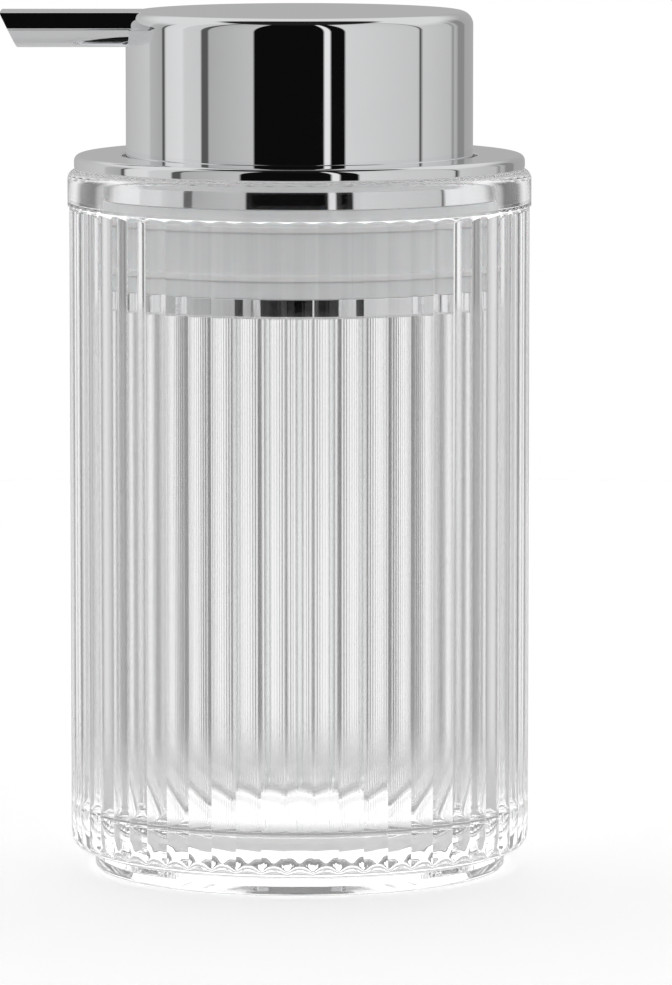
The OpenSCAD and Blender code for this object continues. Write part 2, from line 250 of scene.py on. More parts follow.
class Effects:
    """Shader node groups that several finishes share. Each is built once."""

    def __init__(self) -> None:
        """Starts with no group built."""
        self._built: dict[str, Tree] = {}

    def group(self, name: str) -> Tree:
        """Gives a shared group, and builds it the first time.

        Args:
            name: One of haze, grain, draw_lines, ripple and specks.

        Returns:
            The node tree of the group.
        """
        if name not in self._built:
            builders: dict[str, Callable[[], Tree]] = {
                "haze": self._haze,
                "grain": self._grain,
                "draw_lines": self._draw_lines,
                "ripple": self._ripple,
                "specks": self._specks,
            }
            self._built[name] = builders[name]()
        return self._built[name]

    @staticmethod
    def _start(name: str, inputs: dict[str, float], outputs: Sequence[str]) -> Tree:
        """Makes an empty group with float inputs and outputs.

        Args:
            name: The group's name.
            inputs: Each input's name and default.
            outputs: The outputs' names.

        Returns:
            The new node tree, with its Group Input and Group Output nodes.
        """
        tree = bpy.data.node_groups.new(name, "ShaderNodeTree")
        for label, value in inputs.items():
            socket = tree.interface.new_socket(name=label, in_out="INPUT", socket_type="NodeSocketFloat")
            socket.default_value = value
        for label in outputs:
            tree.interface.new_socket(name=label, in_out="OUTPUT", socket_type="NodeSocketFloat")
        tree.nodes.new("NodeGroupInput")
        tree.nodes.new("NodeGroupOutput")
        return tree

    @staticmethod
    def _noise(tree: Tree, detail: float, scale: float | Socket) -> Socket:
        """Adds a noise texture on the object's own coordinates.

        Args:
            tree: The tree to add to.
            detail: The noise's detail.
            scale: The noise's scale, or the socket that gives it.

        Returns:
            The noise's socket, from 0 to 1.
        """
        noise = tree.nodes.new("ShaderNodeTexNoise")
        noise.inputs["Detail"].default_value = detail
        if isinstance(scale, bpy.types.NodeSocket):
            tree.links.new(scale, noise.inputs["Scale"])
        else:
            noise.inputs["Scale"].default_value = scale
        tree.links.new(own_place(tree), noise.inputs["Vector"])
        return noise.outputs["Fac"]

    @staticmethod
    def _ends(tree: Tree) -> tuple[Node, Node]:
        """Finds a group's Group Input and Group Output nodes."""
        return tree.nodes["Group Input"], tree.nodes["Group Output"]

    def _haze(self) -> Tree:
        """Builds the faint film that handling leaves on a polished face.

        Returns:
            The group, with a Roughness and a Mask.
        """
        inputs = {"Scale": 60.0, "Amount": 0.03, "Base": 0.03}
        tree = self._start("handling_haze", inputs, ["Roughness", "Mask"])
        start, end = self._ends(tree)
        broad = self._noise(tree, detail=3.0, scale=start.outputs["Scale"])
        fine = self._noise(tree, detail=6.0, scale=900.0)
        blotches = soft_step(tree, broad, (0.46, 0.72))
        film = product(tree, blotches, fine)
        rough = math_node(tree, "MULTIPLY_ADD")
        tree.links.new(film, rough.inputs[0])
        tree.links.new(start.outputs["Amount"], rough.inputs[1])
        tree.links.new(start.outputs["Base"], rough.inputs[2])
        tree.links.new(rough.outputs[0], end.inputs["Roughness"])
        tree.links.new(film, end.inputs["Mask"])
        return tree

    def _grain(self) -> Tree:
        """Builds the fine texture of a moulded plastic or rubber face.

        Returns:
            The group, with a Height and a Mask.
        """
        tree = self._start("moulded_grain", {"Scale": 2500.0, "Broad": 120.0}, ["Height", "Mask"])
        start, end = self._ends(tree)
        fine = self._noise(tree, detail=2.0, scale=start.outputs["Scale"])
        broad = self._noise(tree, detail=4.0, scale=start.outputs["Broad"])
        tree.links.new(fine, end.inputs["Height"])
        tree.links.new(broad, end.inputs["Mask"])
        return tree

    def _draw_lines(self) -> Tree:
        """Builds the fine lines that a die leaves along drawn wire.

        Returns:
            The group, with a Height.
        """
        tree = self._start("draw_lines", {"Scale": 3000.0}, ["Height"])
        start, end = self._ends(tree)
        squeeze = tree.nodes.new("ShaderNodeMapping")
        squeeze.inputs["Scale"].default_value = (0.08, 0.08, 1.0)
        noise = tree.nodes.new("ShaderNodeTexNoise")
        noise.inputs["Detail"].default_value = 3.0
        tree.links.new(own_place(tree), squeeze.inputs["Vector"])
        tree.links.new(squeeze.outputs["Vector"], noise.inputs["Vector"])
        tree.links.new(start.outputs["Scale"], noise.inputs["Scale"])
        tree.links.new(noise.outputs["Fac"], end.inputs["Height"])
        return tree

    def _ripple(self) -> Tree:
        """Builds the slow unevenness of pressed glass and polished plate.

        Returns:
            The group, with a Height.
        """
        tree = self._start("pressed_ripple", {"Scale": 70.0}, ["Height"])
        start, end = self._ends(tree)
        noise = self._noise(tree, detail=1.5, scale=start.outputs["Scale"])
        tree.links.new(noise, end.inputs["Height"])
        return tree

    def _specks(self) -> Tree:
        """Builds sparse pin-point specks, as seeds in glass.

        Returns:
            The group, with a Mask.
        """
        tree = self._start("specks", {"Scale": 260.0, "Size": 0.06}, ["Mask"])
        start, end = self._ends(tree)
        cells = tree.nodes.new("ShaderNodeTexVoronoi")
        tree.links.new(own_place(tree), cells.inputs["Vector"])
        tree.links.new(start.outputs["Scale"], cells.inputs["Scale"])
        near = math_node(tree, "LESS_THAN")
        tree.links.new(cells.outputs["Distance"], near.inputs[0])
        tree.links.new(start.outputs["Size"], near.inputs[1])
        tree.links.new(near.outputs[0], end.inputs["Mask"])
        return tree


EFFECTS = Effects()


# ---------------------------------------------------------------- finishes


class Canvas:
    """One material's node tree, with the few steps that every finish takes."""

    def __init__(self, name: str) -> None:
        """Makes a material with one Principled BSDF.

        Args:
            name: The material's name.
        """
        self.material = bpy.data.materials.new(name)
        self.material.use_nodes = True
        self.tree = self.material.node_tree
        self.shader = self.tree.nodes["Principled BSDF"]

    def set(self, **values: float) -> None:
        """Sets the shader's own sockets.

        Args:
            values: Each socket's value. An underscore in a name stands for a space.
        """
        for key, value in values.items():
            socket = self.shader.inputs[key.replace("_", " ")]
            socket.default_value = value

    def effect(self, name: str, **values: float) -> Node:
        """Places a shared effect.

        Args:
            name: The effect's name in Effects.
            values: The group's inputs.

        Returns:
            The group node.
        """
        node = self.tree.nodes.new("ShaderNodeGroup")
        node.node_tree = EFFECTS.group(name)
        for key, value in values.items():
            node.inputs[key].default_value = value
        return node

    def link(self, source: Socket, target: str) -> None:
        """Links a socket to one of the shader's inputs."""
        self.tree.links.new(source, self.shader.inputs[target])

    def bump(self, source: Socket, distance: float) -> None:
        """Feeds a height to the shader's Normal through a Bump node.

        Args:
            source: The height.
            distance: The full height in millimetres.
        """
        node = self.tree.nodes.new("ShaderNodeBump")
        node.inputs["Distance"].default_value = distance * MM
        self.tree.links.new(source, node.inputs["Height"])
        self.link(node.outputs["Normal"], "Normal")

    def tint(self, mask: Socket, low: Socket | Colour, high: Colour) -> Socket:
        """Mixes two colours by a mask into the shader's Base Color.

        Args:
            mask: The mask.
            low: Colour, or its socket, where the mask is 0.
            high: Colour where the mask is 1.

        Returns:
            The mixed colour's socket.
        """
        colour = mixed_colours(self.tree, mask, low, high)
        self.link(colour, "Base Color")
        return colour

    def spread(self, mask: Socket, low: float, high: float, target: str) -> None:
        """Maps a mask from 0..1 to low..high and links it to a shader input.

        Args:
            mask: The mask.
            low: Value where the mask is 0.
            high: Value where the mask is 1.
            target: The shader's input.
        """
        node = self.tree.nodes.new("ShaderNodeMapRange")
        node.inputs["To Min"].default_value = low
        node.inputs["To Max"].default_value = high
        self.tree.links.new(mask, node.inputs["Value"])
        self.link(node.outputs["Result"], target)


@dataclass(frozen=True)
class Finish:
    """A surface finish. Subclasses say how it is painted."""

    name: str
    slot: Slot

    def paint(self, canvas: Canvas) -> None:
        """Sets up the shader; each finish has its own."""
        raise NotImplementedError(self.name)

    def material(self) -> bpy.types.Material:
        """Gives this finish's material, and makes it the first time.

        Returns:
            The material.
        """
        found = bpy.data.materials.get(self.name)
        if found is not None:
            return found
        canvas = Canvas(self.name)
        self.paint(canvas)
        return canvas.material


@dataclass(frozen=True)
class PressedGlass(Finish):
    """Clear pressed glass with a slow ripple, a few fine seeds and a softer fluted wall."""

    tint: Colour = (0.992, 0.992, 0.993)
    seed_tone: float = 0.93
    seed_size: float = 0.035
    ior: float = 1.5
    ripple_mm: float = 0.004
    wall_roughness: float = 0.085
    wall_from: Span = (11.0, 20.0)
    wall_to: Span = (101.0, 96.0)

    def paint(self, canvas: Canvas) -> None:
        """Paints clear glass, fire-polished at the rim and base and softer along the wall.

        Args:
            canvas: The material's canvas.
        """
        canvas.set(IOR=self.ior, Transmission_Weight=1.0, Metallic=0.0)
        height = split_axes(canvas.tree, own_place(canvas.tree)).outputs["Z"]
        steps = [(height, (start * MM, end * MM)) for start, end in (self.wall_from, self.wall_to)]
        wall = shared_steps(canvas.tree, steps)
        canvas.spread(wall, 0.0, self.wall_roughness, "Roughness")
        seeds = canvas.effect("specks", Scale=330.0, Size=self.seed_size)
        canvas.tint(seeds.outputs["Mask"], self.tint, scaled(self.tint, self.seed_tone))
        ripple = canvas.effect("ripple", Scale=55.0)
        canvas.bump(ripple.outputs["Height"], self.ripple_mm)


@dataclass(frozen=True)
class PlatedChrome(Finish):
    """Bright chrome plate on moulded plastic, with a faint film from handling."""

    colour: Colour = (0.885, 0.89, 0.90)
    base_roughness: float = 0.018
    film: float = 0.05
    film_tone: float = 0.97
    ripple_mm: float = 0.0006

    def paint(self, canvas: Canvas) -> None:
        """Paints polished plate.

        Args:
            canvas: The material's canvas.
        """
        canvas.set(Metallic=1.0)
        haze = canvas.effect("haze", Scale=75.0, Amount=self.film, Base=self.base_roughness)
        canvas.link(haze.outputs["Roughness"], "Roughness")
        canvas.tint(haze.outputs["Mask"], self.colour, scaled(self.colour, self.film_tone))
        ripple = canvas.effect("ripple", Scale=260.0)
        canvas.bump(ripple.outputs["Height"], self.ripple_mm)


@dataclass(frozen=True)
class Moulded(Finish):
    """Moulded plastic, silicone or rubber: a fine grain and a slow change of tone."""

    low: Colour = (0.86, 0.86, 0.85)
    high: Colour = (0.92, 0.92, 0.91)
    rough_low: float = 0.32
    rough_high: float = 0.46
    grain_mm: float = 0.006
    subsurface: float = 0.0
    ior: float = 1.49
    scatter_mm: float = 1.5

    def paint(self, canvas: Canvas) -> None:
        """Paints a moulded face.

        Args:
            canvas: The material's canvas.
        """
        canvas.set(IOR=self.ior, Subsurface_Weight=self.subsurface)
        canvas.set(Subsurface_Scale=self.scatter_mm * MM)
        grain = canvas.effect("grain", Scale=2600.0, Broad=140.0)
        self.lay_tone(canvas, grain.outputs["Mask"])
        canvas.spread(grain.outputs["Mask"], self.rough_low, self.rough_high, "Roughness")
        canvas.bump(grain.outputs["Height"], self.grain_mm)

    def lay_tone(self, canvas: Canvas, mask: Socket) -> Socket:
        """Colours the face by a slow mask and gives the colour's socket."""
        return canvas.tint(mask, self.low, self.high)


@dataclass(frozen=True)
class SealSilicone(Moulded):
    """Silicone whose lips are painted lighter than the rest, as a painted highlight where they meet the
    glass.
    """

    lip_start_mm: float = 33.45
    lip_full_mm: float = 33.8
    # colour of the painted highlight on the lips, where they meet the glass
    lip_highlight_tone: Colour = (1.0, 1.0, 1.0)

    def lay_tone(self, canvas: Canvas, mask: Socket) -> Socket:
        """Colours the silicone and paints a highlight on the lips: lighter far out from the axis.

        Args:
            canvas: The material's canvas.
            mask: The slow mask of the silicone's own tone.

        Returns:
            The colour's socket.
        """
        tree = canvas.tree
        body_tone = super().lay_tone(canvas, mask)
        flat = tree.nodes.new("ShaderNodeVectorMath")
        flat.operation = "MULTIPLY"
        flat.inputs[1].default_value = (1.0, 1.0, 0.0)
        tree.links.new(own_place(tree), flat.inputs[0])
        reach = length_of(tree, flat.outputs["Vector"])
        # painted highlight: the lips turn lighter far out from the axis, where they press on the glass
        lip = soft_step(tree, reach, (self.lip_start_mm * MM, self.lip_full_mm * MM))
        return canvas.tint(lip, body_tone, self.lip_highlight_tone)


@dataclass(frozen=True)
class ClearPlastic(Finish):
    """Extruded clear plastic, as of a dip tube."""

    tint: Colour = (0.97, 0.98, 0.98)
    streak_tone: float = 0.985
    ior: float = 1.2
    roughness_low: float = 0.02
    roughness_high: float = 0.08

    def paint(self, canvas: Canvas) -> None:
        """Paints clear plastic with faint draw marks.

        Args:
            canvas: The material's canvas.
        """
        canvas.set(IOR=self.ior, Transmission_Weight=1.0, Metallic=0.0)
        grain = canvas.effect("grain", Scale=1500.0, Broad=90.0).outputs["Mask"]
        canvas.tint(grain, self.tint, scaled(self.tint, self.streak_tone))
        canvas.spread(grain, self.roughness_low, self.roughness_high, "Roughness")


@dataclass(frozen=True)
class DrawnSteel(Finish):
    """Bare stainless steel with fine lines or a polish."""

    colour: Colour = (0.62, 0.63, 0.65)
    rough_low: float = 0.16
    rough_high: float = 0.3
    line_mm: float = 0.004
    line_tone: float = 0.9

    def paint(self, canvas: Canvas) -> None:
        """Paints bare steel.

        Args:
            canvas: The material's canvas.
        """
        canvas.set(Metallic=1.0)
        lines = canvas.effect("draw_lines", Scale=2600.0).outputs["Height"]
        canvas.tint(lines, scaled(self.colour, self.line_tone), self.colour)
        canvas.spread(lines, self.rough_low, self.rough_high, "Roughness")
        canvas.bump(lines, self.line_mm)


GLASS = PressedGlass("pressed_clear_glass", Slot.GLASS)
CHROME = PlatedChrome("bright_chrome_plate", Slot.CHROME)
SILICONE = SealSilicone("grey_white_silicone", Slot.SILICONE, (0.93, 0.935, 0.94), (0.96, 0.965, 0.97),
                        rough_low=0.36, rough_high=0.5, grain_mm=0.004, subsurface=0.15, ior=1.41)
RUBBER = Moulded("dark_wiper_rubber", Slot.RUBBER, (0.028, 0.029, 0.031), (0.045, 0.046, 0.048),
                 rough_low=0.5, rough_high=0.7, grain_mm=0.008)
WHITE = Moulded("white_moulded_plastic", Slot.WHITE)
NATURAL = Moulded("natural_moulded_plastic", Slot.NATURAL, (0.74, 0.76, 0.77), (0.82, 0.84, 0.85),
                  rough_low=0.22, rough_high=0.34, grain_mm=0.004, subsurface=0.35)
TUBE = ClearPlastic("clear_dip_tube_plastic", Slot.TUBE)
SPRING_WIRE = DrawnSteel("drawn_spring_wire", Slot.SPRING)
BALL_STEEL = DrawnSteel("polished_ball_steel", Slot.BALL, (0.72, 0.73, 0.75), rough_low=0.05,
                        rough_high=0.12, line_mm=0.0008)


# ---------------------------------------------------------------- mesh tools


def arc(centre: Point, radius: float, start: float, end: float, steps: int) -> list[Point]:
    """Points along a circular arc.

    Args:
        centre: The arc's centre.
        radius: Its radius.
        start: First angle in degrees.
        end: Last angle in degrees.
        steps: Number of straight steps.

    Returns:
        The points, both ends included.
    """
    turn = [math.radians(start + (end - start) * i / steps) for i in range(steps + 1)]
    return [(centre[0] + radius * math.cos(a), centre[1] + radius * math.sin(a)) for a in turn]


def circle(radius: float, count: int) -> list[Point]:
    """Evenly spaced points on a circle about the origin, the first one on +X.

    Args:
        radius: The circle's radius.
        count: Number of points.

    Returns:
        The points.
    """
    turn = [2 * math.pi * i / count for i in range(count)]
    return [(radius * math.cos(a), radius * math.sin(a)) for a in turn]


def rounded(corners: Sequence[Corner], closed: bool = True, steps: int = 5,
            support: float = 0.06) -> list[Point]:
    """Rounds the corners of an outline, with a support point on each side of a rounding.

    Args:
        corners: Each corner's two coordinates and its rounding radius, 0 for a plain point.
        closed: Whether the last corner joins the first.
        steps: Straight steps in each rounding.
        support: Distance from a rounding's end to its support point, in the corners' units.

    Returns:
        The outline's points.
    """
    count = len(corners)
    points: list[Point] = []
    for i, (x, y, radius) in enumerate(corners):
        here = Vector((x, y))
        if radius <= 0 or (not closed and i in (0, count - 1)):
            points.append((x, y))
            continue
        before = Vector(corners[i - 1][:2]) - here
        after = Vector(corners[(i + 1) % count][:2]) - here
        half = before.angle(after) / 2
        cut = min(radius / math.tan(half), CUT_SHARE * before.length, CUT_SHARE * after.length)
        size = cut * math.tan(half)
        centre = here + (before.normalized() + after.normalized()).normalized() * size / math.sin(half)
        first = here + before.normalized() * cut - centre
        last = here + after.normalized() * cut - centre
        sweep = first.angle_signed(last)
        extra = min(support, SUPPORT_SHARE * cut)
        points.append(tuple(here + before.normalized() * (cut + extra)))
        for k in range(steps + 1):
            a = -sweep * k / steps
            points.append((centre.x + first.x * math.cos(a) - first.y * math.sin(a),
                           centre.y + first.x * math.sin(a) + first.y * math.cos(a)))
        points.append(tuple(here + after.normalized() * (cut + extra)))
    return points


def mesh_object(name: str, vertices: Sequence[Sequence[float]], faces: Sequence[Sequence[int]],
                sharp_deg: float = SHARP_DEG) -> bpy.types.Object:
    """Makes a smooth-shaded object from vertices in millimetres.

    Args:
        name: The object's name.
        vertices: Points in millimetres.
        faces: Vertex numbers of each face.
        sharp_deg: Edges that turn more than this stay sharp.

    Returns:
        The new object, linked to the scene, with its vertices in metres.
    """
    mesh = bpy.data.meshes.new(name)
    mesh.from_pydata([[c * MM for c in v] for v in vertices], [], [list(f) for f in faces])
    mesh.validate()
    work = bmesh.new()
    work.from_mesh(mesh)
    bmesh.ops.remove_doubles(work, verts=work.verts, dist=MERGE_M)
    bmesh.ops.recalc_face_normals(work, faces=work.faces)
    work.to_mesh(mesh)
    work.free()
    obj = bpy.data.objects.new(name, mesh)
    bpy.context.scene.collection.objects.link(obj)
    smooth(obj, sharp_deg)
    return obj


def smooth(obj: bpy.types.Object, sharp_deg: float) -> None:
    """Shades an object smooth, apart from its sharp edges.

    Args:
        obj: The object.
        sharp_deg: Edges that turn more than this stay sharp.
    """
    mesh = obj.data
    mesh.polygons.foreach_set("use_smooth", [True] * len(mesh.polygons))
    mesh.set_sharp_from_angle(angle=math.radians(sharp_deg))
    mesh.update()


def weigh_normals(obj: bpy.types.Object) -> None:
    """Lets large flat faces decide the shading beside a small rounding.

    Args:
        obj: The object.
    """
    modifier = obj.modifiers.new("weighted_normals", "WEIGHTED_NORMAL")
    modifier.keep_sharp = True
    modifier.weight = 90


def grid_faces(rows: int, columns: int, closed_rows: bool) -> list[list[int]]:
    """Quads of a grid that wraps round its columns.

    Args:
        rows: Number of rows.
        columns: Number of columns, which wrap.
        closed_rows: Whether the last row joins the first.

    Returns:
        The faces.
    """
    faces = []
    for j in range(rows if closed_rows else rows - 1):
        upper = (j + 1) % rows
        for i in range(columns):
            k = (i + 1) % columns
            faces.append([j * columns + i, j * columns + k, upper * columns + k, upper * columns + i])
    return faces


def end_faces(rows: int, columns: int) -> list[list[int]]:
    """Faces that close the first and the last row of a grid.

    Args:
        rows: Number of rows.
        columns: Number of columns.

    Returns:
        The two faces.
    """
    last = (rows - 1) * columns
    return [list(range(columns))[::-1], [last + i for i in range(columns)]]


def swept(name: str, rings: Sequence[Sequence[Corner]], closed: bool = False) -> bpy.types.Object:
    """Joins rings of equal count into one skin.

    Args:
        name: The object's name.
        rings: The rings' points in millimetres.
        closed: Whether the last ring joins the first; if not, both ends are closed by a face.

    Returns:
        The new object.
    """
    columns = len(rings[0])
    faces = grid_faces(len(rings), columns, closed)
    if not closed:
        faces += end_faces(len(rings), columns)
    return mesh_object(name, [point for ring in rings for point in ring], faces)


def lathe(name: str, outline: Sequence[Point], segments: int = 192, closed: bool = True) -> bpy.types.Object:
    """Turns an outline about the Z axis.

    Args:
        name: The object's name.
        outline: Radius and height of each point, in millimetres.
        segments: Steps round the axis.
        closed: Whether the outline closes on itself; if not, its ends lie on the axis.

    Returns:
        The new object.
    """
    vertices = [(x, y, height) for radius, height in outline for x, y in circle(radius, segments)]
    return mesh_object(name, vertices, grid_faces(len(outline), segments, closed))


def node_span(node: str) -> tuple[Vector, Vector]:
    """Lowest and highest corner of a CAD node in millimetres."""
    low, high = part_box(node)
    return low / MM, high / MM


def dress(obj: bpy.types.Object, finish: Finish) -> None:
    """Gives an object one finish.

    Args:
        obj: The object.
        finish: Its finish.
    """
    obj.data.materials.clear()
    obj.data.materials.append(finish.material())


def place(obj: bpy.types.Object, body: Body, finish: Finish, *nodes: str) -> bpy.types.Object:
    """Dresses a made piece, lets it ride on its body and stand for its CAD nodes.

    Args:
        obj: The piece.
        body: The body it rides on.
        finish: Its finish.
        nodes: The CAD nodes it stands for.

    Returns:
        The same piece.
    """
    dress(obj, finish)
    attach(obj, body.value)
    if nodes:
        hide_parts(*nodes)
    LOG.info("%s: %d faces on %s", obj.name, len(obj.data.polygons), body.value)
    return obj


def dress_node(node: str, finish: Finish) -> None:
    """Gives a CAD node that stays in view its finish.

    Args:
        node: The node's name.
        finish: Its finish.
    """
    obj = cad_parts[node]
    smooth(obj, CRISP_DEG)
    dress(obj, finish)
    LOG.info("%s: CAD node, %s", node, finish.name)


def flip_out(obj: bpy.types.Object) -> None:
    """Turns an object's faces outward after its vertices were moved.

    Args:
        obj: The object.
    """
    work = bmesh.new()
    work.from_mesh(obj.data)
    bmesh.ops.recalc_face_normals(work, faces=work.faces)
    work.to_mesh(obj.data)
    work.free()
    smooth(obj, SHARP_DEG)


def rod(name: str, radius: float, start: Corner, end: Corner, segments: int) -> bpy.types.Object:
    """Builds a plain round rod, used as a cutter.

    Args:
        name: The object's name.
        radius: Its radius in millimetres.
        start: Centre of one end.
        end: Centre of the other end.
        segments: Sides of the rod.

    Returns:
        The rod.
    """
    turn = (Vector(end) - Vector(start)).to_track_quat("Z", "Y")
    spokes = [turn @ Vector((x, y, 0)) for x, y in circle(radius, segments)]
    return swept(name, [[Vector(centre) + spoke for spoke in spokes] for centre in (start, end)])


def join(target: bpy.types.Object, tool: bpy.types.Object, operation: str) -> None:
    """Applies an exact boolean and removes the tool.

    Args:
        target: The object that is changed.
        tool: The object that is added or cut away.
        operation: UNION or DIFFERENCE.
    """
    modifier = target.modifiers.new("boolean", "BOOLEAN")
    modifier.operation = operation
    modifier.solver = "EXACT"
    modifier.object = tool
    bpy.context.view_layer.update()
    graph = bpy.context.evaluated_depsgraph_get()
    result = bpy.data.meshes.new_from_object(target.evaluated_get(graph))
    target.modifiers.remove(modifier)
    old = target.data
    target.data = result
    bpy.data.meshes.remove(old)
    bpy.data.objects.remove(tool)


def smooth_max(a: float, b: float, blend: float) -> float:
    """The larger of two values, with the corner between them rounded over blend."""
    h = max(blend - abs(a - b), 0.0) / blend
    return max(a, b) + h * h * blend / 4


def smooth_min(a: float, b: float, blend: float) -> float:
    """The smaller of two values, with the corner between them rounded over blend."""
    return -smooth_max(-a, -b, blend)


# ---------------------------------------------------------------- the jar


@dataclass
class Jar:
    """The pressed glass jar: fluted wall, smooth band at the mouth, thick base and foot ring."""

    flutes: int = 56
    flute_depth: float = 0.7
    flute_inset: float = 0.27
    groove_blend: float = 0.10
    band_h: float = 6.1
    band_slope: float = 1.15
    band_blend: float = 0.22
    wall: float = 5.37
    floor_h: float = 9.7
    floor_round: float = 3.0
    floor_rings: tuple[float, ...] = (24.0, 14.0, 5.0)
    foot_h: float = 3.5
    foot_inset: float = 4.37
    foot_round: float = 0.9
    hollow_w: float = 5.0
    hollow_depth: float = 1.2
    hollow_slope: float = 1.4
    hollow_rounds: Span = (0.8, 0.5)
    step_round: float = 0.5
    base_round: float = 2.6
    base_blend: float = 0.25
    rim_round: float = 1.6
    mouth_round: float = 1.1
    steps_per_flute: int = 12
    row_gap: float = 0.4
    row_step: float = 1.0
    band_lead: float = 3.0
    band_reach: float = 3.1
    wall_lead: float = 4.0
    wall_margin: float = 12.0
    floor_lead: float = 1.5
    sharp_deg: float = 50.0
    rim_r: float = field(init=False)
    height: float = field(init=False)

    def __post_init__(self) -> None:
        """Takes the outer radius and the height from the frame."""
        top = node_span("glass_jar")[1]
        self.rim_r, self.height = top.x, top.z

    @property
    def crest_r(self) -> float:
        """Radius over the flutes' crests."""
        return self.rim_r - self.flute_inset

    def flute_radius(self, share: float) -> float:
        """Outer radius of the fluted wall across one flute.

        Args:
            share: Place across the flute, from -0.5 at one groove to 0.5 at the next.

        Returns:
            The radius in millimetres.
        """
        groove = self.crest_r - self.flute_depth
        step = 2 * math.pi / self.flutes
        cosine = math.cos(step / 2)
        chord = groove ** 2 - 2 * groove * self.crest_r * cosine + self.crest_r ** 2
        arc_r = chord / (2 * (self.crest_r - groove * cosine))
        centre = self.crest_r - arc_r

        def on_arc(angle: float) -> float:
            """Distance from the axis to this flute's arc at an angle from its crest."""
            side = centre * math.sin(angle)
            return centre * math.cos(angle) + math.sqrt(max(arc_r ** 2 - side ** 2, 0.0))

        own = abs(share) * step
        return smooth_max(on_arc(own), on_arc(step - own), self.groove_blend)

    def outer_radius(self, share: float, z: float) -> float:
        """Outer radius anywhere between the foot and the mouth's rounding.

        Args:
            share: Place across the flute, from -0.5 to 0.5.
            z: Height in millimetres.

        Returns:
            The radius in millimetres.
        """
        below_band = max(self.height - self.band_h - z, 0.0)
        band = self.rim_r - self.band_slope * below_band
        radius = smooth_max(self.flute_radius(share), band, self.band_blend)
        up = min(max(z - self.foot_h, 0.0), self.base_round)
        if up < self.base_round:
            side = math.sqrt(self.base_round ** 2 - (self.base_round - up) ** 2)
            radius = smooth_min(radius, self.crest_r - self.base_round + side, self.base_blend)
        return radius

    def _outer_heights(self) -> list[float]:
        """Heights of the rows on the fluted wall, close together where the shape changes.

        Returns:
            The heights in millimetres, from the foot up.
        """
        band_z = self.height - self.band_h
        round_steps, wall_steps, band_steps = 16, 14, 30
        band_start = band_z - self.band_lead
        turn = [math.pi / 2 * i / round_steps for i in range(round_steps + 1)]
        heights = [self.foot_h + self.base_round * (1 - math.cos(a)) for a in turn]
        heights += [self.foot_h + self.base_round + self.row_step * k for k in (1, 2, 3)]
        wall = band_start - heights[-1]
        heights += [heights[-1] + wall * i / wall_steps for i in range(1, wall_steps + 1)]
        heights += [band_start + self.band_reach * i / band_steps for i in range(1, band_steps + 1)]
        heights += [band_z + self.row_step, self.height - self.rim_round - self.row_gap]
        return heights

    def _under(self) -> list[Point]:
        """Outline of the underside, from the axis to the start of the fluted wall.

        Returns:
            The outline's points.
        """
        foot_r = self.rim_r - self.foot_inset
        hollow_r = foot_r - self.hollow_w
        inner_round, outer_round = self.hollow_rounds
        return rounded([
            (0, self.hollow_depth, 0),
            (hollow_r - self.hollow_slope, self.hollow_depth, inner_round),
            (hollow_r, 0, outer_round),
            (foot_r, 0, self.foot_round),
            (foot_r, self.foot_h, self.step_round),
            (self.crest_r - self.base_round - self.row_gap, self.foot_h, 0),
        ], closed=False)

    def _mouth_and_inside(self) -> list[Point]:
        """Outline from the top of the fluted wall over the mouth to the inner floor's middle.

        Returns:
            The outline's points.
        """
        mouth_r = self.rim_r - self.wall
        floor_edge = mouth_r - self.floor_round
        rim = (self.rim_r - self.rim_round, self.height - self.rim_round)
        mouth = (mouth_r + self.mouth_round, self.height - self.mouth_round)
        points = arc(rim, self.rim_round, 0, 90, 9) + arc(mouth, self.mouth_round, 90, 180, 8)
        wall_rows, wall_top = 8, self.height - self.wall_lead
        wall_step = (self.height - self.floor_h - self.wall_margin) / wall_rows
        points += [(mouth_r, wall_top - i * wall_step) for i in range(wall_rows + 1)]
        points += arc((floor_edge, self.floor_h + self.floor_round), self.floor_round, 0, -90, 10)
        radii = (floor_edge - self.floor_lead, *self.floor_rings, 0.0)
        return points + [(radius, self.floor_h) for radius in radii]

    def build(self) -> bpy.types.Object:
        """Builds the jar as one closed skin.

        Returns:
            The jar.
        """
        columns = self.flutes * self.steps_per_flute
        shares = [(i / self.steps_per_flute) % 1.0 for i in range(columns)]
        shares = [share - 1 if share > 0.5 else share for share in shares]
        rows: list[list[Point]] = [[point] * columns for point in self._under()]
        rows += [[(self.outer_radius(share, z), z) for share in shares] for z in self._outer_heights()]
        rows += [[point] * columns for point in self._mouth_and_inside()]
        spokes = circle(1.0, columns)
        vertices = [(r * x, r * y, z) for row in rows for (r, z), (x, y) in zip(row, spokes)]
        return mesh_object("jar_glass", vertices, grid_faces(len(rows), columns, False), self.sharp_deg)

    def make(self) -> None:
        """Builds and dresses the jar."""
        place(self.build(), Body.JAR, GLASS, "glass_jar")


# ---------------------------------------------------------------- collar and seal


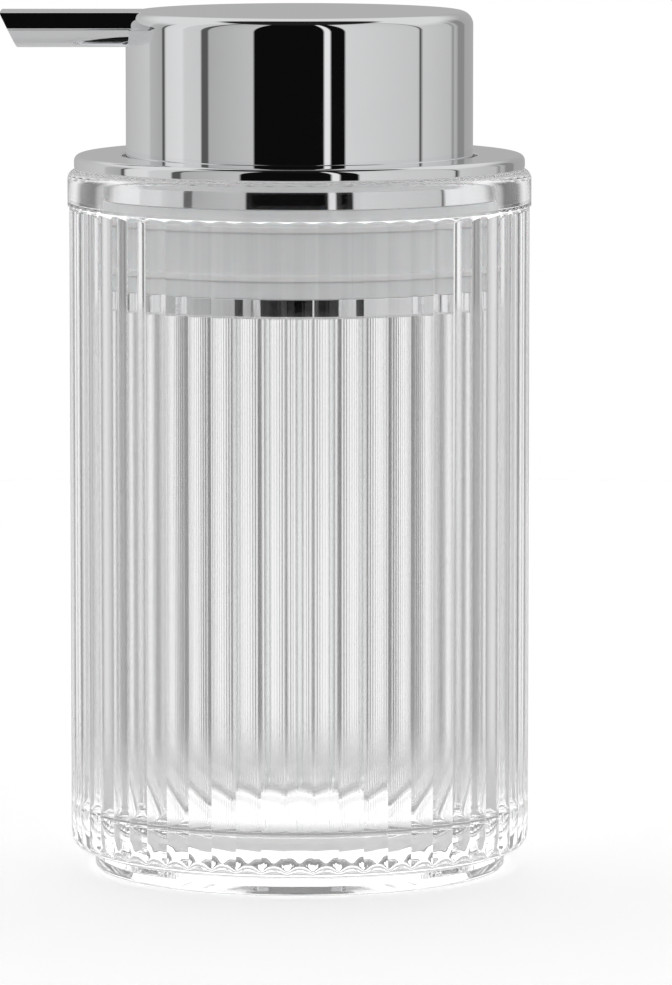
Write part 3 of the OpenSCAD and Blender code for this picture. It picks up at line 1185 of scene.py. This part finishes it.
@dataclass
class Collar:
    """The plated collar with its silicone sleeve, and the guide ring hidden in it."""

    mouth_r: float = 34.0
    flange_t: float = 2.5
    flange_round: float = 1.05
    edge_round: float = 0.55
    root_round: float = 0.1
    plug_gap: float = 1.0
    plug_wall: float = 2.2
    plug_round: float = 0.45
    recess: float = 0.8
    recess_round: float = 0.12
    shelf_t: float = 1.5
    shelf_w: float = 2.0
    corner_round: float = 0.2
    neck_lip_t: float = 1.5
    neck_lip_w: float = 0.6
    opening_round: float = 0.45
    sleeve_out: float = 0.35
    sleeve_round: float = 0.15
    lip_h: float = 1.3
    lip_places: Span = (0.23, 0.78)
    lip_round: float = 0.2

    def make(self) -> None:
        """Builds and dresses the collar, the sleeve and the guide ring."""
        plug_r = self.mouth_r - self.plug_gap
        self._collar(plug_r)
        self._sleeve(plug_r)
        dress_node("guide_ring", WHITE)

    def _collar(self, plug_r: float) -> None:
        """Turns the flange and the plug in one piece, with the sleeve's recess.

        Args:
            plug_r: Outer radius of the plug.
        """
        low, high = node_span("lid_collar")
        sleeve_low, sleeve_high = node_span("seal_sleeve")
        well_r = plug_r - self.plug_wall
        shelf_r, shelf_z = well_r - self.shelf_w, low.z + self.shelf_t
        opening_r, lip_z = well_r - self.neck_lip_w, high.z - self.neck_lip_t
        recess_r = plug_r - self.recess
        outline = rounded([
            (shelf_r, low.z, self.corner_round),
            (plug_r, low.z, self.plug_round),
            (plug_r, sleeve_low.z, self.recess_round),
            (recess_r, sleeve_low.z, 0),
            (recess_r, sleeve_high.z, 0),
            (plug_r, sleeve_high.z, self.recess_round),
            (plug_r, high.z - self.flange_t, self.root_round),
            (high.x, high.z - self.flange_t, self.edge_round),
            (high.x, high.z, self.flange_round),
            (opening_r, high.z, self.opening_round),
            (opening_r, lip_z, self.corner_round),
            (well_r, lip_z, 0),
            (well_r, shelf_z, 0),
            (shelf_r, shelf_z, self.corner_round),
        ], steps=7)
        collar = lathe("collar_plated", outline, 256)
        weigh_normals(collar)
        place(collar, Body.LID, CHROME, "lid_collar")

    def _sleeve(self, plug_r: float) -> None:
        """Turns the silicone sleeve with its two lips.

        Args:
            plug_r: Outer radius of the plug.
        """
        low, high = node_span("seal_sleeve")
        inner_r, outer_r = plug_r - self.recess, plug_r + self.sleeve_out
        outline: list[Corner] = [(inner_r, low.z, 0), (outer_r, low.z, self.sleeve_round)]
        for share in self.lip_places:
            middle = low.z + share * (high.z - low.z)
            root, tip = self.lip_h / 2, self.lip_h / 3
            for radius, rise in ((outer_r, -root), (high.x, -tip), (high.x, tip), (outer_r, root)):
                outline.append((radius, middle + rise, self.lip_round))
        outline += [(outer_r, high.z, self.sleeve_round), (inner_r, high.z, 0)]
        sleeve = lathe("seal_sleeve_lips", rounded(outline, steps=3, support=0.04))
        place(sleeve, Body.LID, SILICONE, "seal_sleeve")


# ---------------------------------------------------------------- pump


@dataclass
class Pump:
    """The pump engine inside the plug: housing, valves, piston, stem, spring and dip tube."""

    wire: float = 1.0
    turns: int = 5
    steps_per_turn: int = 48
    wire_sides: int = 14
    even_share: float = 0.7
    solid_share: float = 0.47
    tube_r: float = 2.6
    tube_bore_r: float = 1.8
    tube_slant_deg: float = 30.0
    tube_sides: int = 48

    def make(self) -> None:
        """Builds the spring and the dip tube, and dresses the turned parts."""
        self._spring()
        self._dip_tube()
        for node, finish in (
            ("pump_mount", WHITE), ("lock_ring", WHITE), ("stem_guide", WHITE), ("mount_gasket", SILICONE),
            ("housing_gasket", SILICONE), ("stem_wiper", RUBBER), ("pump_housing", NATURAL),
            ("ball_cage", NATURAL), ("piston", NATURAL), ("piston_stem", NATURAL),
            ("inlet_ball", BALL_STEEL), ("outlet_ball", BALL_STEEL),
        ):
            dress_node(node, finish)

    def _rise(self, along: float) -> float:
        """Share of the spring's height at a share of its wire, closer together at both ends.

        Args:
            along: Share of the wire's length, from 0 to 1.

        Returns:
            The share of the height, from 0 to 1.
        """
        dead_turn = 0.5 / self.turns
        share = min(max((along - dead_turn) / (1 - 2 * dead_turn), 0.0), 1.0)
        eased = share * share * (3 - 2 * share)
        return eased * (1 - self.even_share) + share * self.even_share

    def _spring(self) -> None:
        """Builds the return spring as a swept helix."""
        low, high = node_span("return_spring")
        wire_r = self.wire / 2
        coil_r = (high.x - low.x) / 2 - wire_r
        count = self.turns * self.steps_per_turn
        section = circle(wire_r, self.wire_sides)
        rings = []
        for i in range(count + 1):
            a = 2 * math.pi * i / self.steps_per_turn
            z = low.z + wire_r + self._rise(i / count) * (high.z - low.z - self.wire)
            rings.append([((coil_r + out) * math.cos(a), (coil_r + out) * math.sin(a), z + up)
                          for out, up in section])
        spring = swept("return_spring_coil", rings)
        place(spring, Body.LID, SPRING_WIRE, "return_spring")
        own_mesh(spring)

    def _dip_tube(self) -> None:
        """Builds the dip tube, with its slanted lower end."""
        low, high = node_span("dip_tube")
        slope = math.tan(math.radians(self.tube_slant_deg))
        outer = circle(self.tube_r, self.tube_sides)
        bore = circle(self.tube_bore_r, self.tube_sides)

        def lower_end(points: Sequence[Point]) -> list[Corner]:
            """Sets a ring of points on the slanted lower end."""
            return [(x, y, low.z + (self.tube_r - x) * slope) for x, y in points]

        rings = [lower_end(outer), [(x, y, high.z) for x, y in outer],
                 [(x, y, high.z) for x, y in bore], lower_end(bore)]
        place(swept("dip_tube_clear", rings, closed=True), Body.LID, TUBE, "dip_tube")


# ---------------------------------------------------------------- head


@dataclass
class Head:
    """The press-down head: plated shell with its flat spout, plastic core and spout liner."""

    wall: float = 1.6
    top_t: float = 1.8
    top_round: float = 2.3
    skirt_round: float = 0.35
    ceiling_round: float = 0.9
    segments: int = 320
    spout_w: float = 13.6
    spout_h: float = 6.0
    side_h: float = 2.9
    slant: float = 2.9
    step_in: float = 0.4
    edge: float = 0.28
    liner_r: float = 2.2
    liner_bore_r: float = 1.5
    liner_round: float = 0.12
    bore_gap: float = 0.04
    bore_start: float = 2.0
    root_inset: float = 2.0
    root_steps: tuple[float, ...] = (0.0, 4.0, 8.0)
    overlap: float = 0.02
    cutter_past: float = 1.0

    def make(self) -> None:
        """Builds and dresses the shell and the liner, and dresses the core."""
        low, high = node_span("head_shell")
        self._shell(low, high)
        self._liner(high.z - self.spout_h / 2)
        dress_node("head_core", WHITE)

    def _cup(self, low: Vector, high: Vector) -> bpy.types.Object:
        """Turns the shell's cup, closed at the top.

        Args:
            low: Lowest corner of the shell.
            high: Highest corner of the shell.

        Returns:
            The cup.
        """
        radius, inner = high.x, high.x - self.wall
        ceiling = high.z - self.top_t
        outline = rounded([
            (0, high.z, 0),
            (radius, high.z, self.top_round),
            (radius, low.z, self.skirt_round),
            (inner, low.z, self.skirt_round),
            (inner, ceiling, self.ceiling_round),
            (0, ceiling, 0),
        ], closed=False, steps=12, support=0.15)
        return lathe("head_plated", outline, self.segments, closed=False)

    def _bar(self, high: Vector, tip_x: float) -> bpy.types.Object:
        """Builds the spout bar: flat top, upright sides, a small step and a rounded trough below.

        Args:
            high: Highest corner of the shell.
            tip_x: Where the spout's tip ends.

        Returns:
            The bar, its root inside the cup.
        """
        half, side = self.spout_w / 2, -self.side_h
        lower = half - self.step_in
        corner = self.spout_h - self.side_h
        section = rounded([
            (-half, 0, self.edge),
            (half, 0, self.edge),
            (half, side, self.edge),
            (lower, side - self.overlap, 0),
        ], closed=False, steps=4, support=0.05)[1:]
        right = section + arc((lower - corner, side), corner, 0, -90, 10)[1:]
        outline = right + [(-y, drop) for y, drop in reversed(right)]
        root_x = -(high.x - self.top_round - self.root_inset)
        rings = [[(root_x - step, y, high.z + drop) for y, drop in outline] for step in self.root_steps]
        rings.append([(tip_x - drop / self.spout_h * self.slant, y, high.z + drop) for y, drop in outline])
        return swept("spout_bar", rings)

    def _hollow(self, low: Vector, high: Vector) -> bpy.types.Object:
        """Turns the cutter that clears the cup of the bar's root.

        Args:
            low: Lowest corner of the shell.
            high: Highest corner of the shell.

        Returns:
            The cutter.
        """
        past, corner = self.cutter_past, 1.0
        side_r = high.x - self.wall - self.overlap
        inner, ceiling = high.x - self.wall, high.z - self.top_t
        outline = [(0, low.z - past), (side_r, low.z - past), (side_r, ceiling - corner),
                   (inner - corner, ceiling - self.overlap), (0, ceiling - self.overlap)]
        return lathe("shell_hollow", outline, self.segments, closed=False)

    def _shell(self, low: Vector, high: Vector) -> None:
        """Joins the cup and the bar, bores the spout and rounds the shading.

        Args:
            low: Lowest corner of the shell.
            high: Highest corner of the shell.
        """
        shell = self._cup(low, high)
        bore_z = high.z - self.spout_h / 2
        join(shell, self._bar(high, low.x), "UNION")
        join(shell, self._hollow(low, high), "DIFFERENCE")
        bore_end = low.x - self.cutter_past
        bore = rod("spout_bore", self.liner_r + self.bore_gap, (self.bore_start, 0, bore_z),
                   (bore_end, 0, bore_z), 48)
        join(shell, bore, "DIFFERENCE")
        smooth(shell, CRISP_DEG)
        weigh_normals(shell)
        place(shell, Body.HEAD, CHROME, "head_shell")

    def _liner(self, centre_z: float) -> None:
        """Builds the tube that carries the soap along the spout.

        Args:
            centre_z: Height of the tube's axis.
        """
        low, high = node_span("spout_liner")
        length = high.x - low.x
        outline = rounded([(radius, along, self.liner_round) for radius, along in (
            (self.liner_bore_r, 0), (self.liner_r, 0), (self.liner_r, length), (self.liner_bore_r, length))],
            steps=3, support=0.03)
        liner = lathe("spout_liner_tube", outline, 64)
        for vertex in liner.data.vertices:
            x, y, along = vertex.co
            vertex.co = (high.x * MM - along, y, centre_z * MM + x)
        flip_out(liner)
        place(liner, Body.HEAD, WHITE, "spout_liner")


# ---------------------------------------------------------------- studio


@dataclass(frozen=True)
class Panel:
    """An upright band of the studio, between two bearings in degrees seen from the object.

    Bearing 0 is in front of the object, and bearings grow towards +X.
    """

    start: float
    end: float
    light_start: float
    light_end: float

    def turned(self) -> "Panel":
        """The same band mirrored to the other side of bearing 0."""
        return Panel(-self.end, -self.start, self.light_end, self.light_start)


@dataclass(frozen=True)
class FloorPaint:
    """Pale floor with a glow of its own, so that it fades into the white surroundings, and a painted pool of
    light under the jar that stands in for light passing through the glass.
    """

    low: Colour = (0.93, 0.93, 0.93)
    high: Colour = (0.95, 0.95, 0.95)
    roughness: float = 0.6
    glow: float = 0.5
    # painted pool of light: a brighter glow under the jar's foot, for the light that comes through the glass
    under_jar_light_pool: float = 0.85
    mirrored_glow: float = 0.15
    under_edge: Span = (0.030, 0.0385)
    clear_out: Span = (0.085, 0.2)
    clear_behind: Span = (0.03, 0.11)

    def material(self) -> bpy.types.Material:
        """Makes the floor's material.

        Returns:
            The material.
        """
        canvas = Canvas("pale_floor")
        canvas.set(Roughness=self.roughness, Emission_Strength=1.0)
        noise = canvas.effect("grain", Scale=400.0, Broad=3.0)
        canvas.tint(noise.outputs["Mask"], self.low, self.high)
        tree = canvas.tree
        path = tree.nodes.new("ShaderNodeLightPath")
        place = own_place(tree)
        reach = length_of(tree, place)
        # glow of the floor, with the painted pool of light under the jar fading out across under_edge
        glow = soft_step(tree, reach, self.under_edge, (self.under_jar_light_pool, self.glow))
        dull = soft_step(tree, path.outputs["Is Glossy Ray"], (0.0, 1.0), (1.0, self.mirrored_glow))
        canvas.link(product(tree, glow, dull), "Emission Color")
        back = split_axes(tree, place).outputs["Y"]
        far = shared_steps(tree, [(reach, self.clear_out), (back, self.clear_behind)])
        self._clear(canvas, product(tree, far, path.outputs["Is Transmission Ray"]))
        return canvas.material

    @staticmethod
    def _clear(canvas: Canvas, mask: Socket) -> None:
        """Lets light that has gone through the glass pass the floor where a mask says so.

        Args:
            canvas: The material's canvas.
            mask: The mask, 1 where the floor is clear.
        """
        tree = canvas.tree
        clear = tree.nodes.new("ShaderNodeBsdfTransparent")
        mixed = tree.nodes.new("ShaderNodeMixShader")
        for number, source in enumerate((mask, canvas.shader.outputs[0], clear.outputs[0])):
            tree.links.new(source, mixed.inputs[number])
        tree.links.new(mixed.outputs[0], tree.nodes["Material Output"].inputs["Surface"])


@dataclass
class Studio:
    """Pale floor, soft surrounding light with dark flags, and the camera."""

    distance: float = 1.2626
    height: float = 0.2065
    aim_x: float = 0.0062
    aim_z: float = 0.06405
    lens: float = 272.2
    clip_range: Span = (0.05, 20.0)
    floor_rings: tuple[float, ...] = (0.0, 0.05, 0.12, 0.3, 0.6)
    floor_columns: int = 96
    window: float = 14.0
    window_fade: float = 12.0
    flag_light: float = 0.13
    flag_gain: float = 1.6
    flag_end: float = 43.0
    wing_start: float = 55.0
    wing_light: float = 0.92
    front_bands: Span = (-101.0, 89.0)
    band_edge: float = 0.25
    overhead_light: float = 0.76
    overhead_rise: Span = (0.30, 0.60)
    overhead_toward: Span = (0.10, -0.12)
    gap_light: float = 0.015
    gap_rise: Span = (0.86, 0.91)
    gap_toward: Span = (-0.30, -0.24)
    canopy_light: float = 1.6
    canopy_rise: Span = (0.0, 0.14)
    below_fall: Span = (-0.30, -0.55)
    bounces: int = 40
    glass_bounces: int = 36
    mirror_bounces: int = 28
    light_clamp: float = 8.0
    panels: tuple[Panel, ...] = (
        Panel(-180, -118, 0.44, 0.62), Panel(-118, -103, 0.50, 0.42), Panel(-103, -100, 0.10, 0.10),
        Panel(-100, -83, 0.72, 0.78), Panel(-83, -68, 0.66, 0.64), Panel(-68, -62.5, 0.10, 0.10),
        Panel(-62.5, -30.5, 0.44, 0.55), Panel(-30.5, 15.8, 0.004, 0.004), Panel(15.8, 20.6, 0.85, 0.85),
        Panel(20.6, 30.5, 0.004, 0.004), Panel(30.5, 86, 0.70, 0.60), Panel(86, 88.6, 0.03, 0.03),
        Panel(88.6, 121, 0.63, 0.54), Panel(121, 125, 0.33, 0.33), Panel(125, 130, 0.50, 0.40),
        Panel(130, 142, 0.27, 0.27), Panel(142, 180, 0.40, 0.44),
    )

    def make(self) -> None:
        """Sets up the floor, the light, the camera and how light is traced."""
        self._floor()
        self._world()
        self._camera()
        scene = bpy.context.scene
        scene.view_settings.view_transform = "Standard"
        scene.view_settings.look = "None"
        scene.cycles.max_bounces = self.bounces
        scene.cycles.transmission_bounces = self.glass_bounces
        scene.cycles.glossy_bounces = self.mirror_bounces
        scene.cycles.sample_clamp_indirect = self.light_clamp

    def _floor(self) -> None:
        """Lays a pale round floor."""
        rings = [circle(radius / MM, self.floor_columns) for radius in self.floor_rings]
        vertices = [(x, y, 0) for ring in rings for x, y in ring]
        faces = grid_faces(len(rings), self.floor_columns, False)
        floor = mesh_object("studio_floor", vertices, faces)
        floor.data.materials.append(FloorPaint().material())

    def _world(self) -> None:
        """Paints the surroundings: bands of light and dark flags round the object, light above."""
        world = bpy.data.worlds.new("studio_light")
        bpy.context.scene.world = world
        world.use_nodes = True
        tree = world.node_tree
        axes = split_axes(tree, tree.nodes.new("ShaderNodeTexCoord").outputs["Generated"])
        rise = axes.outputs["Z"]
        reverse = math_node(tree, "MULTIPLY")
        reverse.inputs[1].default_value = -1.0
        tree.links.new(axes.outputs["Y"], reverse.inputs[0])
        toward = reverse.outputs[0]
        share = self._share_of_turn(tree, axes.outputs["X"], toward)
        bands, through = [self._round(tree, share, ring) for ring in (self.panels, self._through())]
        path = tree.nodes.new("ShaderNodeLightPath")
        white = grey(1.0)
        top = mixed_colours(tree, path.outputs["Is Glossy Ray"], white, grey(self.overhead_light))
        above = shared_steps(tree, [(rise, self.overhead_rise), (toward, self.overhead_toward)])
        lit = mixed_colours(tree, above, bands, top)
        gap = shared_steps(tree, [(rise, self.gap_rise), (toward, self.gap_toward)])
        lit = mixed_colours(tree, gap, lit, grey(self.gap_light))
        canopy = soft_step(tree, rise, self.canopy_rise)
        through = mixed_colours(tree, canopy, through, grey(self.canopy_light))
        lit = mixed_colours(tree, path.outputs["Is Transmission Ray"], lit, through)
        lit = mixed_colours(tree, soft_step(tree, rise, self.below_fall), lit, white)
        seen = mixed_colours(tree, path.outputs["Is Camera Ray"], lit, white)
        tree.links.new(seen, tree.nodes["Background"].inputs["Color"])

    @staticmethod
    def _share_of_turn(tree: Tree, right: Socket, toward: Socket) -> Socket:
        """Turns a direction into its bearing, as a share of the full turn.

        Args:
            tree: The world's tree.
            right: The direction's part along +X.
            toward: Its part along -Y, the front.

        Returns:
            The share's socket, 0.5 straight in front.
        """
        bearing = math_node(tree, "ARCTAN2")
        tree.links.new(right, bearing.inputs[0])
        tree.links.new(toward, bearing.inputs[1])
        share = math_node(tree, "MULTIPLY_ADD")
        share.inputs[1].default_value = 1 / (2 * math.pi)
        share.inputs[2].default_value = 0.5
        tree.links.new(bearing.outputs[0], share.inputs[0])
        return share.outputs[0]

    def _through(self) -> tuple[Panel, ...]:
        """The ring seen through the glass: a white window behind, dark flags beside it, then wings.

        Returns:
            The ring's panels, with the bands in front as in the mirrored ring.
        """
        flag, wing = self.flag_light, self.wing_light
        first, last = self.front_bands
        front = tuple(panel for panel in self.panels if panel.start >= first and panel.end <= last)
        steps = ((0.0, 1.0), (self.window, 1.0), (self.window + self.window_fade, flag),
                 (self.flag_end, self.flag_gain * flag), (self.wing_start, wing))
        left = [Panel(a - 180, b - 180, light_a, light_b)
                for (a, light_a), (b, light_b) in zip(steps, steps[1:])]
        right = [panel.turned() for panel in reversed(left)]
        wing_end = 180 - self.wing_start
        return (*left, Panel(-wing_end, front[0].start, wing, wing), *front,
                Panel(front[-1].end, wing_end, wing, wing), *right)

    def _round(self, tree: Tree, share: Socket, panels: Sequence[Panel]) -> Socket:
        """Paints one ring of panels, in two ramps because a ramp holds few stops.

        Args:
            tree: The world's tree.
            share: Bearing as a share of the full turn.
            panels: The ring's panels, in order of bearing.

        Returns:
            The socket that carries the ring's light.
        """
        side = math_node(tree, "GREATER_THAN")
        side.inputs[1].default_value = 0.5
        tree.links.new(share, side.inputs[0])
        left = [Panel(p.start, min(p.end, 0), p.light_start, p.light_end) for p in panels if p.start < 0]
        right = [Panel(max(p.start, 0), p.end, p.light_start, p.light_end) for p in panels if p.end > 0]
        ramps = [self._ramp(tree, share, half) for half in (left, right)]
        return mixed_colours(tree, side.outputs[0], *ramps)

    def _ramp(self, tree: Tree, share: Socket, panels: Sequence[Panel]) -> Socket:
        """Builds a colour ramp over bearing from a list of panels.

        Args:
            tree: The world's tree.
            share: Bearing as a share of the full turn.
            panels: The panels, in order of bearing.

        Returns:
            The ramp's colour.
        """
        node = tree.nodes.new("ShaderNodeValToRGB")
        ramp = node.color_ramp
        ramp.interpolation = "LINEAR"
        stops: list[Point] = []
        for panel in panels:
            stops.append((panel.start + self.band_edge, panel.light_start))
            stops.append((panel.end - self.band_edge, panel.light_end))
        while len(ramp.elements) < len(stops):
            ramp.elements.new(0.5)
        for element, (bearing, light) in zip(ramp.elements, stops):
            element.position = bearing / 360 + 0.5
            element.color = (*grey(light), 1.0)
        tree.links.new(share, node.inputs["Fac"])
        return node.outputs["Color"]

    def _camera(self) -> None:
        """Places the camera in front, a little above, looking slightly down."""
        data = bpy.data.cameras.new("camera")
        camera = bpy.data.objects.new("camera", data)
        bpy.context.scene.collection.objects.link(camera)
        camera.location = (0.0, -self.distance, self.height)
        aim = Vector((self.aim_x, 0.0, self.aim_z)) - camera.location
        camera.rotation_mode = "QUATERNION"
        camera.rotation_quaternion = aim.to_track_quat("-Z", "Y")
        data.lens = self.lens
        data.clip_start, data.clip_end = self.clip_range
        bpy.context.scene.camera = camera


def main() -> None:
    """Builds every sub-assembly, then the studio."""
    logging.basicConfig(level=logging.INFO, format="%(name)s: %(message)s")
    Studio().make()
    for part in (Jar(), Collar(), Pump(), Head()):
        part.make()


if __name__ == "__main__":
    main()
